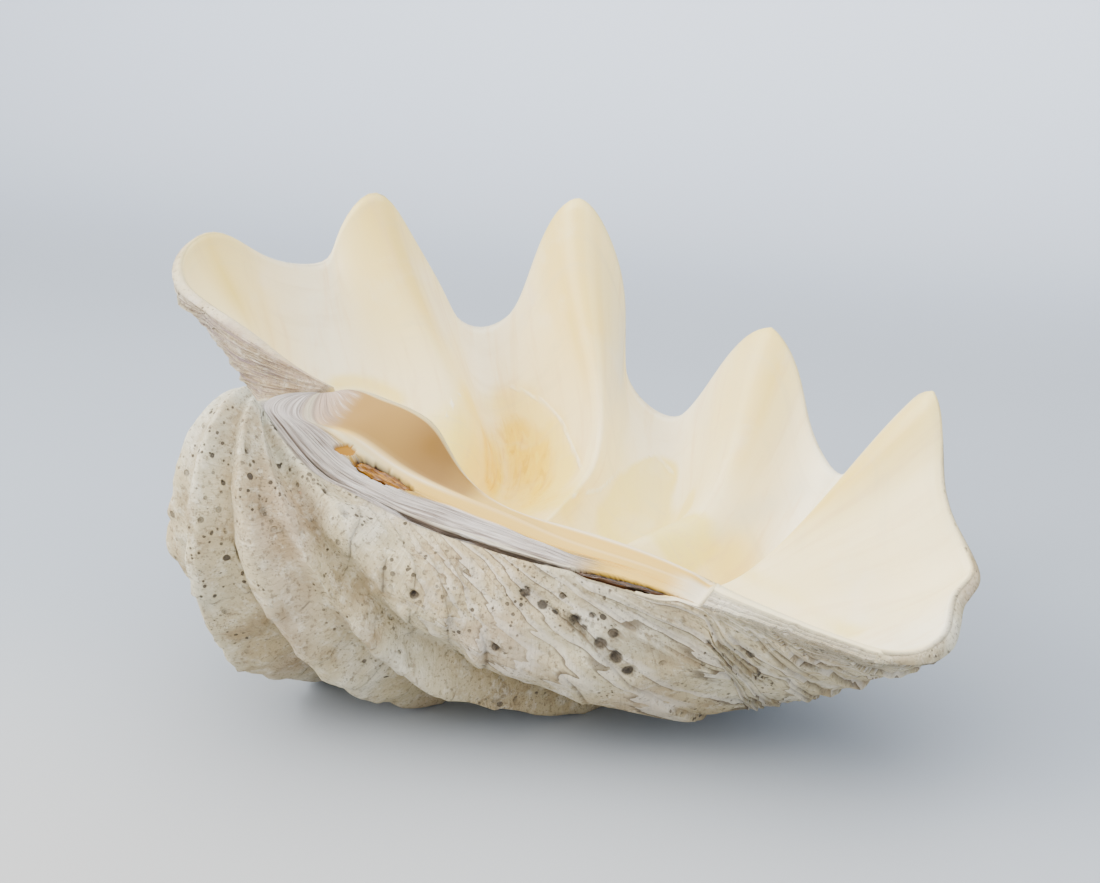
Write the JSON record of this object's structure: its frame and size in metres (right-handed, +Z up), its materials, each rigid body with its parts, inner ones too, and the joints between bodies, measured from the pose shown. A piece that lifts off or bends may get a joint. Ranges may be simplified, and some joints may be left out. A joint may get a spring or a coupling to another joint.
{
  "type": "giant clam shell valve",
  "caption": "Single valve of a giant clam shell, a deep fluted bowl with tall rounded rim points, a ribbed chalky outside and dried ligament left at the hinge.",
  "frame": {"origin": "centre of the bounding box in plan, at the floor the valve rests on", "axes": "+Z up, +X towards the rear end of the hinge along the longest extent, +Y away from the hinge towards the far rim"},
  "size_m": [0.607, 0.4518, 0.3193],
  "materials": {
    "shell": "satin porcelain inside, chalky outside",
    "ligament": "dry and brittle"
  },
  "bodies": {
    "root": {"shell_valve": "shell", "ligament_front": "ligament", "ligament_rear": "ligament"}
  },
  "joints": []
}
